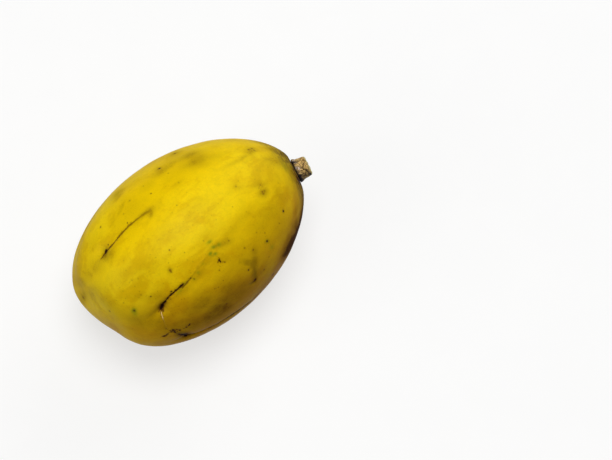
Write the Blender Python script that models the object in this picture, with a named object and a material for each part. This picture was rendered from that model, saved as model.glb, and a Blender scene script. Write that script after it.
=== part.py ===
# Hog plum, lying on its side as it rests on a table.
# The fruit is one grown body with five grooves and pits round its blossom end,
# and a short woody stem stands in a plain hole at its other end.
#
# Frame: +X towards the stem, +Z up, origin on the surface below the middle of the part.
# Round the fruit's long axis, angles run from the top (0) towards -Y (90).

import math

import bmesh
import bpy
import numpy as np
from mathutils import Matrix, Vector

MM = 0.001

# Driving dimensions of the fruit
fruit_length = 79.2 * MM
fruit_width = 53.3 * MM
height_share = 0.98          # the fruit is a little less high than it is wide
egg_shape = (0.141, 0.014, 0.022)   # how much fuller the blossom end is than the stem end
tip_bend = Vector((0, 1.2 * MM, -3.8 * MM))   # the blossom end grew a little off the long axis
bend_growth = 3              # higher keeps the bend nearer to the tip
tip_sink = 3.5 * MM          # the blossom end is blunt
tip_round = 0.45
rest_pitch = math.radians(4)        # nose-down turn that brings the weight over the flat spot
flat_depth = 0.45 * MM       # how far the skin is pressed flat where it rests

# Grooves: angle round the axis, where the crease starts and where its pit lies along the axis
# (-1 is the blossom end, +1 the stem end), slant of the line, and depth and width of its valley
grooves = [
    dict(angle=-72.6, start=-0.12, pit=-0.65, slant=8, valley=1.3 * MM, width=4.2 * MM),
    dict(angle=-23.3, start=-0.27, pit=-0.70, slant=26, valley=1.7 * MM, width=5.0 * MM),
    dict(angle=52.0, start=-0.11, pit=-0.63, slant=-41, valley=2.4 * MM, width=7.7 * MM),
    dict(angle=97.6, start=-0.09, pit=-0.53, slant=-5, valley=1.1 * MM, width=7.7 * MM),
    dict(angle=154.8, start=-0.09, pit=-0.63, slant=13, valley=2.6 * MM, width=7.6 * MM),
]
slant_pivot = -0.65          # a slanting line is at its own angle here,
slant_reach = 0.65           # and turns no further beyond this run towards the stem
slant_ease = 4               # how sharply that turning stops
valley_begins = -0.45        # where the wide valleys open, along the axis
valley_spread = 0.13
valley_reach = 9.0 * MM      # nearer to the tip than this the valleys get no narrower
crease_depth = 0.75 * MM
crease_width = 1.1 * MM
crease_growth = 1.5          # the crease deepens from its start to its pit by this power
crease_fade = 0.25           # and runs out past the pit within this share of its length
pit_depth = 0.9 * MM
pit_radius = 1.3 * MM

# Skin mesh: more lines where the creases run, and more rings where the pits are
lines_around = 80
line_crowding = dict(strength=1.6, spread=6)
rings_along = 52
ring_crowding = dict(strength=1.4, spread=0.3)
pit_ring = 0.87              # the pits lie round here, as an angle from the blossom end
tip_gap = math.radians(3)    # the first and last ring, where a fan of triangles closes the skin
stem_gap = math.radians(5)
nudge = 1e-4                 # small step of that angle, for a slope or a pole

# Seat and socket of the stem
stem_offset = 5.8 * MM       # the stem stands a little beside the long axis
stem_offset_angle = 72.2
seat_span = (0.05, 10)       # the skin's direction there is taken over this angle along and around
seat_radius = 4.6 * MM       # flat seat in the skin under the stem's foot
seat_blend = 1.8 * MM
seat_sink = 1.24 * MM
socket_radius = 3.2 * MM
socket_depth = 2.3 * MM
clearance = 0.3 * MM         # between the stem and the skin

# Stem
stem_length = 4.6 * MM       # from the skin to the cut end
stem_radius = 3.15 * MM
foot_radius = 3.9 * MM
foot_rise = 2.4 * clearance  # the stem stands straight up to here, and leans from here on
root_radius = socket_radius - clearance
root_lip = 0.2 * MM
stem_lean = math.radians(2)        # towards the upper side
cut_slope = math.radians(5)        # the cut end faces up a little more
stem_lean_angle = 20
stem_sides = 32

# Bark of the stem: ribs round it, their share of its radius, their place and their twist per mm
bark_ribs = [(7, 0.035, 1.0, 0), (12, 0.022, 2.4, 1.6)]
bark_wrinkles = dict(share=0.018, per_mm=5.5, folds=3, wander=2)

# Finishes: colour and roughness
skin_finish = ((0.72, 0.50, 0.02), 0.42)
bark_finish = ((0.36, 0.24, 0.10), 0.75)
sharp_angle = math.radians(40)


def around(angle):
    """Unit direction across the long axis, at an angle in degrees."""
    turn = math.radians(angle)
    return Vector((0, -math.sin(turn), math.cos(turn)))


def crowded(count, low, high, places, strength, spread):
    """count values from low to high, closer together near the given places."""
    fine = np.linspace(low, high, 50 * count)
    density = 1 + sum(strength * np.exp(-(((fine - p) / spread) ** 2)) for p in places)
    share = np.cumsum(density)
    share = (share - share[0]) / (share[-1] - share[0])
    return np.interp(np.linspace(0, 1, count), share, fine)


def egg_profile(tau):
    """Half outline of the fruit: place along the axis and radius, from the blossom end on."""
    fuller = sum(k * np.cos((i + 1) * tau) for i, k in enumerate(egg_shape))
    return -0.5 * fruit_length * np.cos(tau), 0.5 * fruit_width * np.sin(tau) * (1 + fuller)


def eased(share):
    """0 to 1 with a soft start and end."""
    share = min(max(share, 0), 1)
    return share * share * (3 - 2 * share)


def bell(distance):
    """1 at no distance, falling off like a soft round dent."""
    return math.exp(-0.5 * distance**2)


def groove_cut(tau, along, radius, line):
    """How deep the grooves cut the skin on the line at that angle, in degrees."""
    away_from_tip = eased(tau / tip_round)
    opening = 1 / (1 + math.exp((along - valley_begins) / valley_spread))
    cut = tip_sink * (1 - away_from_tip)
    for groove in grooves:
        turn = math.radians(abs((line - groove["angle"] + 180) % 360 - 180))
        across = turn * max(radius, valley_reach)
        cut += groove["valley"] * opening * away_from_tip * bell(across / groove["width"])
        beside = turn * radius
        run = (groove["start"] - along) / (groove["start"] - groove["pit"])
        past_pit = max(run - 1, 0) / crease_fade
        sharpness = min(max(run, 0), 1) ** crease_growth * math.exp(-(past_pit**2))
        cut += crease_depth * sharpness * away_from_tip * math.exp(-beside / crease_width)
        lengthwise = (along - groove["pit"]) * 0.5 * fruit_length
        cut += pit_depth * bell(math.hypot(beside, lengthwise) / pit_radius)
    return cut


def line_slant(along, line):
    """How far a line has turned round the axis there: it follows the slants of the nearest grooves."""
    slants = sorted((g["angle"] % 360, g["slant"]) for g in grooves)
    slant = np.interp(line % 360, *zip(*slants), period=360)
    run = along - slant_pivot
    return slant * run / (1 + (run / slant_reach) ** slant_ease) ** (1 / slant_ease)


def skin_point(tau, line):
    """A point of the skin, before the stem's seat is pressed in."""
    x, radius = egg_profile(tau)
    x_on, radius_on = egg_profile(tau + nudge)
    slope = Vector((x_on - x, radius_on - radius)).normalized()
    along = x / (0.5 * fruit_length)
    cut = groove_cut(tau, along, radius, line)
    x += slope.y * cut
    radius -= slope.x * cut
    spoke = around(line + line_slant(along, line))
    bend = tip_bend * ((1 - along) / 2) ** bend_growth
    return Vector((x, spoke.y * radius, spoke.z * radius * height_share)) + bend


def stem_seat():
    """Where the stem stands on the skin, and the skin's outward direction there."""
    tau = math.pi - math.asin(stem_offset / (0.5 * fruit_width))
    span, turn = seat_span
    foot = skin_point(tau, stem_offset_angle)
    lengthwise = skin_point(tau + span, stem_offset_angle) - skin_point(tau - span, stem_offset_angle)
    sideways = skin_point(tau, stem_offset_angle + turn) - skin_point(tau, stem_offset_angle - turn)
    outward = sideways.cross(lengthwise).normalized()
    if outward.x < 0:
        outward.negate()
    return foot - outward * seat_sink, outward


def press_seat(point, seat, outward):
    """Presses the skin flat under the stem's foot."""
    height = (point - seat).dot(outward)
    beside = (point - seat - outward * height).length
    if point.x < 0 or height < 0:
        return point
    return point - outward * height * (1 - eased((beside - seat_radius) / seat_blend))


def make_material(name, colour, roughness):
    material = bpy.data.materials.new(name)
    material.use_nodes = True
    shader = material.node_tree.nodes["Principled BSDF"]
    shader.inputs["Base Color"].default_value = (*colour, 1)
    shader.inputs["Roughness"].default_value = roughness
    shader.inputs["Metallic"].default_value = 0
    return material


def make_object(name, bm, material):
    bmesh.ops.recalc_face_normals(bm, faces=bm.faces)
    if bm.calc_volume(signed=True) < 0:
        bmesh.ops.reverse_faces(bm, faces=bm.faces)
    mesh = bpy.data.meshes.new(name)
    bm.to_mesh(mesh)
    bm.free()
    if material:
        mesh.materials.append(material)
        mesh.shade_smooth()
        mesh.set_sharp_from_angle(angle=sharp_angle)
    obj = bpy.data.objects.new(name, mesh)
    bpy.context.scene.collection.objects.link(obj)
    return obj


def bridge_rings(bm, rings):
    """Joins each ring of vertices to the next with faces."""
    for lower, upper in zip(rings, rings[1:]):
        for i in range(len(lower)):
            j = (i + 1) % len(lower)
            bm.faces.new((lower[i], lower[j], upper[j], upper[i]))


def close_ring(bm, ring, centre):
    """Fills a ring with a fan of triangles round a middle point."""
    middle = bm.verts.new(centre)
    for i in range(len(ring)):
        bm.faces.new((ring[i], ring[(i + 1) % len(ring)], middle))


def make_fruit(seat, outward):
    """Rings of skin points from the blossom end to the stem end."""
    angles = [g["angle"] % 360 for g in grooves]
    repeats = [a + turn for a in angles for turn in (-360, 0, 360)]
    lines = crowded(lines_around + 1, 0, 360, repeats, **line_crowding)[:-1]
    for angle in angles:
        lines[np.argmin(abs(lines - angle))] = angle    # one line runs down each crease
    rings = crowded(rings_along, tip_gap, math.pi - stem_gap, [pit_ring], **ring_crowding)

    bm = bmesh.new()
    loops = []
    for tau in rings:
        points = [press_seat(skin_point(tau, line), seat, outward) for line in lines]
        loops.append([bm.verts.new(p) for p in points])
    bridge_rings(bm, loops)
    close_ring(bm, loops[0], press_seat(skin_point(nudge, 0), seat, outward))
    close_ring(bm, loops[-1], press_seat(skin_point(math.pi - nudge, 0), seat, outward))
    return bm


def press_flat(bm):
    """Presses the lowest bit of the skin flat, which is the small spot that it rests on."""
    floor = min(v.co.z for v in bm.verts) + flat_depth
    pressed = {v for v in bm.verts if v.co.z < floor}
    for vertex in pressed:
        vertex.co.z = floor
    spot = [f for f in bm.faces if pressed.issuperset(f.verts)]
    bmesh.ops.dissolve_faces(bm, faces=spot, use_verts=True)
    return floor


def make_socket_cutter(seat, outward):
    """A plain round plug, which is cut out of the fruit for the stem's root."""
    height = 2 * socket_depth
    bm = bmesh.new()
    bmesh.ops.create_cone(
        bm, cap_ends=True, segments=stem_sides, radius1=socket_radius, radius2=socket_radius, depth=height
    )
    turn = outward.to_track_quat("Z", "Y").to_matrix().to_4x4()
    bm.transform(Matrix.Translation(seat) @ turn)
    cutter = make_object("socket_cutter", bm, None)
    cutter.hide_render = True
    cutter.display_type = "WIRE"
    return cutter


def bark_radius(radius, turn, height):
    """The stem's bark has long ribs and a few cross wrinkles; the height here is in millimetres."""
    uneven = 0
    for ribs, share, place, twist in bark_ribs:
        uneven += share * math.sin(ribs * turn + place + twist * height)
    wander = bark_wrinkles["wander"] * math.sin(bark_wrinkles["folds"] * turn)
    uneven += bark_wrinkles["share"] * math.sin(bark_wrinkles["per_mm"] * height + wander)
    return radius * (1 + uneven)


def stem_profile():
    """Height over the seat, radius, and how rough the bark is, from the root to the cut end."""
    gap = clearance
    return [
        (-socket_depth + gap, 0.86 * root_radius, 0),
        (-socket_depth + 2 * gap, root_radius, 0),
        (0.5 * gap, root_radius, 0),
        (gap, root_radius + root_lip, 0),
        (gap, 0.97 * foot_radius, 0.5),
        (foot_rise, foot_radius, 0.8),
        (0.24 * stem_length, 0.96 * foot_radius, 1),
        (0.35 * stem_length, 0.86 * foot_radius, 1),
        (0.47 * stem_length, 1.05 * stem_radius, 1),
        (0.62 * stem_length, 1.02 * stem_radius, 1),
        (0.79 * stem_length, stem_radius, 1),
        (0.93 * stem_length, 0.98 * stem_radius, 1),
        (stem_length, 0.88 * stem_radius, 1),
        (0.985 * stem_length, 0.66 * stem_radius, 0.5),
        (1.01 * stem_length, 0.3 * stem_radius, 0),
    ]


def make_stem(seat, outward):
    """Rings from the root in its hole, over the swollen foot, up to the cut end."""
    lean_to = around(stem_lean_angle)
    lean_to = (lean_to - outward * lean_to.dot(outward)).normalized()
    across = outward.cross(lean_to)
    profile = stem_profile()
    bm = bmesh.new()
    loops = []
    for height, radius, roughness in profile:
        rise = max(height - foot_rise, 0)
        centre = seat + outward * height + lean_to * rise * math.tan(stem_lean)
        tilt = (stem_lean + cut_slope) * min(rise / (stem_length - foot_rise), 1)
        level = Matrix.Rotation(tilt, 3, across)
        loop = []
        for i in range(stem_sides):
            turn = 2 * math.pi * i / stem_sides
            bark = bark_radius(radius, turn, height / MM)
            length = radius + (bark - radius) * roughness
            spoke = level @ (lean_to * math.cos(turn) + across * math.sin(turn))
            loop.append(bm.verts.new(centre + spoke * length))
        loops.append(loop)
    bridge_rings(bm, loops)
    close_ring(bm, loops[0], seat + outward * profile[0][0])
    top = sum((v.co for v in loops[-1]), Vector()) / stem_sides
    close_ring(bm, loops[-1], top)
    return bm


def bounding_middle(meshes):
    """Middle of the whole part's box, seen from above."""
    points = np.array([v.co for bm in meshes for v in bm.verts])
    low, high = points.min(axis=0), points.max(axis=0)
    return (low + high) / 2


def main():
    for obj in list(bpy.data.objects):
        bpy.data.objects.remove(obj)
    skin = make_material("fruit_skin", *skin_finish)
    bark = make_material("stem_bark", *bark_finish)

    seat, outward = stem_seat()
    fruit = make_fruit(seat, outward)
    stem = make_stem(seat, outward)
    turn = Matrix.Rotation(rest_pitch, 4, "Y")
    fruit.transform(turn)
    stem.transform(turn)
    floor = press_flat(fruit)
    middle = bounding_middle([fruit, stem])
    to_origin = Vector((-middle[0], -middle[1], -floor))
    fruit_object = make_object("fruit", fruit, skin)
    stem_object = make_object("stem", stem, bark)
    cutter = make_socket_cutter(turn @ seat, turn.to_3x3() @ outward)
    socket = fruit_object.modifiers.new("stem socket", "BOOLEAN")
    socket.operation = "DIFFERENCE"
    socket.object = cutter
    for obj in (fruit_object, stem_object, cutter):
        obj.location = to_origin


main()
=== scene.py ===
# Hog plum on its side: golden skin with cracks, pits and russet marks, and a short stem with rough bark

import math
import random
from collections import namedtuple

import bpy
import numpy as np
from mathutils import Matrix, Vector
from mathutils.bvhtree import BVHTree
from mathutils.kdtree import KDTree


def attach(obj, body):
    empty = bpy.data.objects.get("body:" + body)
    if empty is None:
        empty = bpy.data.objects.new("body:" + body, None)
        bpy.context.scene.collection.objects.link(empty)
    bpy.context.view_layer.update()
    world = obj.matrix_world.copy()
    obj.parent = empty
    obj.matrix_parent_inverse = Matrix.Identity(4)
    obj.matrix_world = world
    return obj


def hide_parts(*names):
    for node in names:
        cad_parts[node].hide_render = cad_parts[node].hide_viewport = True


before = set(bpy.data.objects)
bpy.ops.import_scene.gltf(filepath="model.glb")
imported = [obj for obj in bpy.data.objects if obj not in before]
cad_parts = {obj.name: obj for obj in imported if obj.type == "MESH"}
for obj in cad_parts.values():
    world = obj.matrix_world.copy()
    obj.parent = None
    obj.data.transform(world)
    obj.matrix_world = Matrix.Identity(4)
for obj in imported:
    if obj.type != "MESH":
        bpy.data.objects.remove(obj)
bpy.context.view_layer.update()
mm = 0.001


def say(stage):
    print("hog plum:", stage)


def linear(colour, alpha=1):
    # the colours below are given as they look on a screen, from 0 to 255
    parts = []
    for part in colour:
        part = part / 255
        parts.append(part / 12.92 if part < 0.04045 else ((part + 0.055) / 1.055) ** 2.4)
    return (*parts, alpha)


# Camera. The fruit was fitted to the photo before its nose went down, so the view turns with it.

cameraSet = {
    "middle": Vector((-0.003, -0.0002, 0.0256)),  # middle of the fruit's long axis
    "azimuth": -40.1,
    "elevation": 65.6,
    "noseDown": 4,
    "distance": 0.5115,
    "lens": 100,
    "sensor": 36,
    "imageSize": (612, 460),
    "middlePixel": (192.7, 238.5),
}


def pixelDirection(px, py):
    width, height = cameraSet["imageSize"]
    focal = width * cameraSet["lens"] / cameraSet["sensor"]
    return Vector(((px - width / 2) / focal, (height / 2 - py) / focal, -1)).normalized()


def cameraPlace():
    a = math.radians(cameraSet["azimuth"])
    e = math.radians(cameraSet["elevation"])
    right = Vector((math.cos(a), math.sin(a), 0))
    up = Vector((-math.sin(a) * math.sin(e), math.cos(a) * math.sin(e), math.cos(e)))
    back = right.cross(up)
    turn = Matrix.Rotation(math.radians(cameraSet["noseDown"]), 3, "Y")
    straight = turn @ Matrix((right, up, back)).transposed()
    place = cameraSet["middle"] + straight.col[2] * cameraSet["distance"]
    toMiddle = pixelDirection(*cameraSet["middlePixel"])
    aside = toMiddle.rotation_difference(Vector((0, 0, -1))).to_matrix()
    return place, straight @ aside


cameraAt, cameraTurn = cameraPlace()
towardsCamera = cameraTurn @ Vector((0, 0, 1))


def newObject(name, data):
    obj = bpy.data.objects.new(name, data)
    bpy.context.scene.collection.objects.link(obj)
    return obj


def makeCamera():
    data = bpy.data.cameras.new("camera")
    data.lens = cameraSet["lens"]
    data.sensor_width = cameraSet["sensor"]
    data.clip_start = 0.01
    camera = newObject("camera", data)
    camera.matrix_world = Matrix.Translation(cameraAt) @ cameraTurn.to_4x4()
    bpy.context.scene.camera = camera


makeCamera()
say("camera placed")


# Mesh helpers

def deselectAll():
    if bpy.context.object and bpy.context.object.mode != "OBJECT":
        bpy.ops.object.mode_set(mode="OBJECT")
    bpy.ops.object.select_all(action="DESELECT")


def pick(obj):
    deselectAll()
    obj.select_set(True)
    bpy.context.view_layer.objects.active = obj


def copyOfNode(node, name):
    # a merged copy of a CAD node, which the finer piece starts from
    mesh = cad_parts[node].data.copy()
    mesh.name = name
    mesh.materials.clear()
    obj = newObject(name, mesh)
    pick(obj)
    bpy.ops.object.mode_set(mode="EDIT")
    bpy.ops.mesh.select_all(action="SELECT")
    bpy.ops.mesh.remove_doubles(threshold=0.00001)
    bpy.ops.mesh.normals_make_consistent(inside=False)
    bpy.ops.mesh.tris_convert_to_quads()
    bpy.ops.object.mode_set(mode="OBJECT")
    return obj


def applyAll(obj):
    pick(obj)
    for modifier in list(obj.modifiers):
        bpy.ops.object.modifier_apply(modifier=modifier.name)


def modify(obj, name, kind, **settings):
    modifier = obj.modifiers.new(name, kind)
    for key, value in settings.items():
        setattr(modifier, key, value)


def evenMesh(obj, cell, smoothing):
    # rounds the facets off, then lays an even net of small faces over the shape
    modify(obj, "rounding", "SUBSURF", levels=1, render_levels=1)
    modify(obj, "net", "REMESH", mode="VOXEL", voxel_size=cell, use_smooth_shade=True)
    modify(obj, "calm", "SMOOTH", factor=0.5, iterations=smoothing)
    applyAll(obj)


def swell(obj, name, kind, scale, strength):
    # soft unevenness from a pattern of clouds or cells
    pattern = bpy.data.textures.new(name, kind)
    pattern.noise_scale = scale
    modify(obj, name, "DISPLACE", texture=pattern, texture_coords="LOCAL", strength=strength, mid_level=0.5)
    applyAll(obj)


def coordinates(mesh):
    co = np.zeros(len(mesh.vertices) * 3)
    mesh.vertices.foreach_get("co", co)
    return co.reshape(-1, 3)


def normals(mesh):
    no = np.zeros(len(mesh.vertices) * 3)
    mesh.vertex_normals.foreach_get("vector", no)
    return no.reshape(-1, 3)


def keepField(mesh, name, values):
    # keeps a number or a vector for each vertex, which the materials read by its name
    kind = "FLOAT" if values.ndim == 1 else "FLOAT_VECTOR"
    attribute = mesh.attributes.new(name, kind, "POINT")
    attribute.data.foreach_set("value" if values.ndim == 1 else "vector", values.astype(np.float32).ravel())


def ramp(values, low, high):
    share = np.clip((values - low) / (high - low), 0, 1)
    return share * share * (3 - 2 * share)


# Places on the skin

layingSet = {
    "pathSteps": 8,  # points between two pixels of a path
    "hiddenSteps": 40,  # points along a line on a side that isn't shown
    "hiddenWaves": 7,
    "hiddenShake": 0.04,  # degrees
    "castFrom": 80 * mm,  # outside the skin all round
    "lineReach": 5 * mm,  # how far beside a line its field goes
    "fadeFrom": 0.6,  # share of that reach where it fades
    "farAway": 9,  # mm beside the line, for skin beyond the reach
    "overhang": 1 * mm,  # how far a line goes on before its first point
    "grooveStart": (-0.02, 0.12),  # shares of a line over which its groove opens
    "grooveEnd": (0.97, 1.03),
    "grooveSpread": 2.2,  # how much wider the groove is than its colour
    "colourStart": (-0.03, 0.05),  # and over which its colour begins and stops
    "colourEnd": (0.98, 1.02),
    "stainFacing": 0.3,  # these limit how far marks near the outline are stretched
    "speckFacing": 0.35,
    "hidden": 0.12,  # skin that faces the camera less than this isn't shown
    "hiddenSpan": (-0.97, 0.93),  # the part of the fruit's length where hidden marks may lie
    "beyondStem": 40.0,  # mm from the stem, for skin that isn't round it
}


def surfacePoint(tree, px, py):
    # the point of the skin behind a pixel of the photo, and the skin's direction there
    hit = tree.ray_cast(cameraAt, cameraTurn @ pixelDirection(px, py))
    return hit[0], hit[1]


def skinAt(tree, along, angle):
    # along runs from -1 at the blossom end to 1 at the stem, the angle from the top (0) towards -Y (90)
    axis = fruitSet["axis"]
    centre = cameraSet["middle"] + axis * along * fruitSet["halfLength"]
    up = axis.cross(Vector((0, 1, 0))).normalized()
    turn = math.radians(angle)
    spoke = up * math.cos(turn) - Vector((0, 1, 0)) * math.sin(turn)
    hit = tree.ray_cast(centre + spoke * layingSet["castFrom"], -spoke)
    return hit[0], hit[1]


def surfacePath(tree, path):
    # the path of pixels as close points on the skin, with the skin's direction at each
    found = []
    steps = layingSet["pathSteps"]
    for (ax, ay), (bx, by) in zip(path, path[1:]):
        for step in range(steps):
            share = step / steps
            found.append(surfacePoint(tree, ax + (bx - ax) * share, ay + (by - ay) * share))
    found.append(surfacePoint(tree, *path[-1]))
    found = [f for f in found if f[0] is not None]
    return np.array([f[0] for f in found]), np.array([f[1] for f in found])


def hiddenPath(tree, start, end, wobble, seed):
    # a line on a side that the photo doesn't show, cast onto the skin from outside
    draw = random.Random(seed)
    found = []
    shake = layingSet["hiddenShake"]
    for step in range(layingSet["hiddenSteps"] + 1):
        share = step / layingSet["hiddenSteps"]
        along = start[0] + (end[0] - start[0]) * share
        angle = start[1] + (end[1] - start[1]) * share
        angle += wobble * math.sin(layingSet["hiddenWaves"] * share + seed) + draw.uniform(-shake, shake)
        found.append(skinAt(tree, along, angle))
    return np.array([f[0] for f in found]), np.array([f[1] for f in found])


def lineField(co, points, outward):
    # for each vertex: millimetres beside the line, share of the way along it, and 1 near it
    reach = layingSet["lineReach"]
    field = np.zeros((len(co), 3))
    field[:, 0] = layingSet["farAway"]
    near = np.zeros(len(co), bool)
    for point in points[::4]:
        near |= ((co - point) ** 2).sum(axis=1) < (2 * reach) ** 2
    index = np.nonzero(near)[0]
    best = np.full(len(index), 1e9)
    length = np.concatenate([[0], np.cumsum(np.linalg.norm(np.diff(points, axis=0), axis=1))])
    chosen = co[index]
    for i in range(len(points) - 1):
        start, end = points[i], points[i + 1]
        run = end - start
        size = np.linalg.norm(run)
        if size < 1e-7:
            continue
        run = run / size
        side = np.cross(outward[i], run)
        side /= np.linalg.norm(side)
        offset = chosen - start
        held = np.clip(offset @ run, -layingSet["overhang"] if i == 0 else 0, size)
        gap = np.linalg.norm(offset - held[:, None] * run, axis=1)
        closer = gap < best
        best[closer] = gap[closer]
        sign = np.where(offset @ side < 0, -1, 1)
        field[index[closer], 0] = (sign * gap)[closer] / mm
        field[index[closer], 1] = ((length[i] + held) / length[-1])[closer]
    field[index, 2] = 1 - ramp(best, layingSet["fadeFrom"] * reach, reach)
    return field


def threeAlong(values, along):
    # a value that runs from its first through its middle to its last
    first, middle, last = values
    return first + (middle - first) * ramp(along, 0, 0.5) + (last - middle) * ramp(along, 0.5, 1)


def stainAt(point, outward, first, second, strength):
    # two directions with their reach on the skin become a measure that is 1 at the stain's edge
    thick = np.array(outward) * max(np.linalg.norm(first), np.linalg.norm(second))
    return np.array(point), np.linalg.inv(np.stack([first, second, thick], axis=1)), strength


def placedStain(tree, px, py, reachFirst, reachSecond, direction, strength):
    # an ellipse as the photo shows it, laid on the skin behind it
    point, outward = surfacePoint(tree, px, py)
    if point is None:
        return None
    facing = max(outward.dot(towardsCamera), layingSet["stainFacing"])
    sides = []
    for reach, degrees in ((reachFirst, direction), (reachSecond, direction + 90)):
        turn = math.radians(degrees)
        ahead = cameraTurn @ Vector((math.cos(turn), math.sin(turn), 0))
        along = ahead - towardsCamera * (ahead.dot(outward) / facing)
        sides.append(np.array((along - outward * along.dot(outward)) * reach))
    return stainAt(point, outward, *sides, strength)


def stainField(co, marks):
    # the strongest of the soft stains at each vertex
    field = np.zeros(len(co))
    for point, measure, strength in marks:
        shares = ((co - point) / mm) @ measure.T
        field = np.maximum(field, strength * np.exp(-0.5 * (shares ** 2).sum(axis=1)))
    return field


def nearestSpecks(co, specks):
    # which speck each vertex is nearest to, counted in that speck's own radii
    tree = KDTree(len(specks))
    for i, (point, radius, dark) in enumerate(specks):
        tree.insert(point, i)
    tree.balance()
    chosen = np.zeros(len(co), int)
    for v, place in enumerate(co):
        chosen[v] = min(tree.find_n(place, 4), key=lambda found: found[2] / specks[found[1]][1])[1]
    return chosen


def hiddenPlaces(tree, count, seed):
    # places all round, left out where the photo's own marks are
    draw = random.Random(seed)
    found = []
    while len(found) < count:
        point, outward = skinAt(tree, draw.uniform(*layingSet["hiddenSpan"]), draw.uniform(0, 360))
        if point is not None and outward.dot(towardsCamera) < layingSet["hidden"]:
            found.append((point, outward, draw))
    return found


# Fruit

fruitSet = {
    "cell": 0.42 * mm,
    "smoothing": 4,
    "dents": ("CLOUDS", 9 * mm, 0.24 * mm),
    "ripples": ("CLOUDS", 3.2 * mm, 0.09 * mm),
    "axis": Vector((0.99756, 0, -0.06976)),  # along the fruit, towards the stem
    "halfLength": 39.6 * mm,
    "stemSeat": Vector((0.03456, -0.00397, 0.0255)),
    "stemOut": Vector((0.9457, -0.2935, 0.137)),
    "paintedShadeSide": (8, 84, 150, 235),  # angles where the painted shade of the darker, browner lower side begins and ends
    "paintedShadeAtTip": (0.45, -0.95, -0.5),  # its share at the blossom end, and where it grows to its full
    "speckDent": (0.12, 1.1),  # mm deep, and how wide, counted in the speck's radius
    "seeds": (11, 21),  # for the hidden specks and stains that follow
    "hiddenSpecks": 70,
    "speckRadii": (0.14, 0.42),
    "speckDark": (0.35, 0.95),
    "hiddenStains": {"brown": 14, "olive": 26, "green": 9},
    "stainSize": (0.8, 3.4),
    "greenSize": 0.5,
    "stainStrength": (0.15, 0.55),
    "stainLonger": (1, 1.8),
    "stemSide": -14 * mm,  # the skin above this, along the stem, is round it
    "collarRing": 3.2,  # radius of the ring that its pattern is laid on
    "collarRidges": (0.04, 5.2, 8.5, 3.6),  # height in mm, rate, reach and start beside the stem
    "collarSway": ((1, 1.5, 900), (2, 1.1, 1100)),  # axis, strength and rate of the ridges' wander
}

# Lines in the skin, as pixels of the photo from the stem side to the blossom end:
# how dark, how wide (mm) and how deep (mm) each is at its start, its middle and its end,
# and how strongly the skin beside it is stained
SkinLine = namedtuple("SkinLine", "path dark wide deep stain")

photoLines = {
    "creaseA": SkinLine(
        [(151.8, 209.9), (146.5, 212), (136.5, 219.5), (128.9, 225.6), (121.2, 233.6), (113.6, 242.8),
         (109.7, 247.4), (107.4, 250)],
        (0.05, 0.3, 0.5), (0.2, 0.17, 0.2), (0.05, 0.12, 0.18), (0.7, 0.9, 1)),
    "strokeA": SkinLine(
        [(104.8, 253), (103.6, 254.6), (102.2, 256.8), (100.8, 259.2)],
        (0.4, 0.8, 0.4), (0.14, 0.22, 0.14), (0.1, 0.16, 0.05), (0.8, 0.9, 0.7)),
    "creaseB": SkinLine(
        [(184, 283.4), (181, 286.2), (178, 289.2), (174.6, 292.6), (171, 295.6), (168, 298.6),
         (165.2, 302.6), (163, 304.8), (161.8, 307.2), (161.4, 309.5)],
        (0.9, 1, 1), (0.3, 0.21, 0.4), (0.15, 0.4, 0.42), (0.8, 0.6, 0.8)),
    "thinB": SkinLine(
        [(191.2, 277.6), (189, 280.2), (186.6, 283.2), (184.2, 286), (182.4, 288.4)],
        (0.3, 0.45, 0.5), (0.18, 0.16, 0.14), (0.06, 0.1, 0.08), (0.6, 0.6, 0.5)),
    "ridgeB": SkinLine(
        [(208.6, 253.4), (204.5, 259.5), (199, 266.5), (194.6, 272.4), (191.2, 277.6)],
        (0, 0, 0.06), (0.2, 0.2, 0.2), (-0.1, -0.14, -0.06), (0.2, 0.4, 0.5)),
    # crease C's dark line and the stain above it are partly painted shade in the fold
    "creaseC": SkinLine(
        [(262, 290), (252, 300.5), (241, 309.4), (230.4, 316.6), (217.9, 324.2), (203.6, 330.6),
         (194, 334), (186.6, 335.2)],
        (0.15, 0.55, 0.75), (0.36, 0.42, 0.34), (0.1, 0.4, 0.45), (0.6, 0.8, 0.9)),
    "smearC": SkinLine(
        [(187, 335.6), (184, 335.4), (181, 334.8), (178.2, 333.8)],
        (0.9, 0.8, 0.15), (0.4, 0.34, 0.24), (0.2, 0.15, 0.05), (0.9, 0.9, 0.7)),
    "strokeC": SkinLine(
        [(169.6, 332.4), (167.8, 334), (166, 335.6), (163.2, 336.5)],
        (0.3, 0.6, 0.9), (0.16, 0.16, 0.2), (0.05, 0.1, 0.05), (0.8, 0.8, 0.7)),
    "trailB": SkinLine(
        [(163.4, 319.4), (163.8, 322), (164.2, 324.5), (165, 327.4), (167, 329.6)],
        (0.12, 0.06, 0.1), (0.12, 0.12, 0.16), (0.03, 0.03, 0.05), (0.5, 0.3, 0.5)),
    "smearD": SkinLine(
        [(254.6, 256), (254.4, 262), (254.6, 268), (255.4, 274), (255.6, 278)],
        (0, 0, 0.08), (0.5, 0.5, 0.34), (0.02, 0.04, 0.12), (0.4, 0.9, 0.9)),
    "tailD": SkinLine(
        [(256, 280.6), (254, 282), (251.4, 283.2), (248.6, 284.4)],
        (0.3, 0.2, 0.05), (0.3, 0.34, 0.3), (0.15, 0.1, 0.04), (0.9, 0.9, 0.5)),
    "branchD": SkinLine(
        [(238.5, 261.3), (243, 261.2), (247.5, 262.6), (251.5, 264.4), (254.5, 267)],
        (0, 0, 0), (0.36, 0.44, 0.5), (0, 0.03, 0.03), (0.3, 0.6, 0.7)),
}

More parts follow.
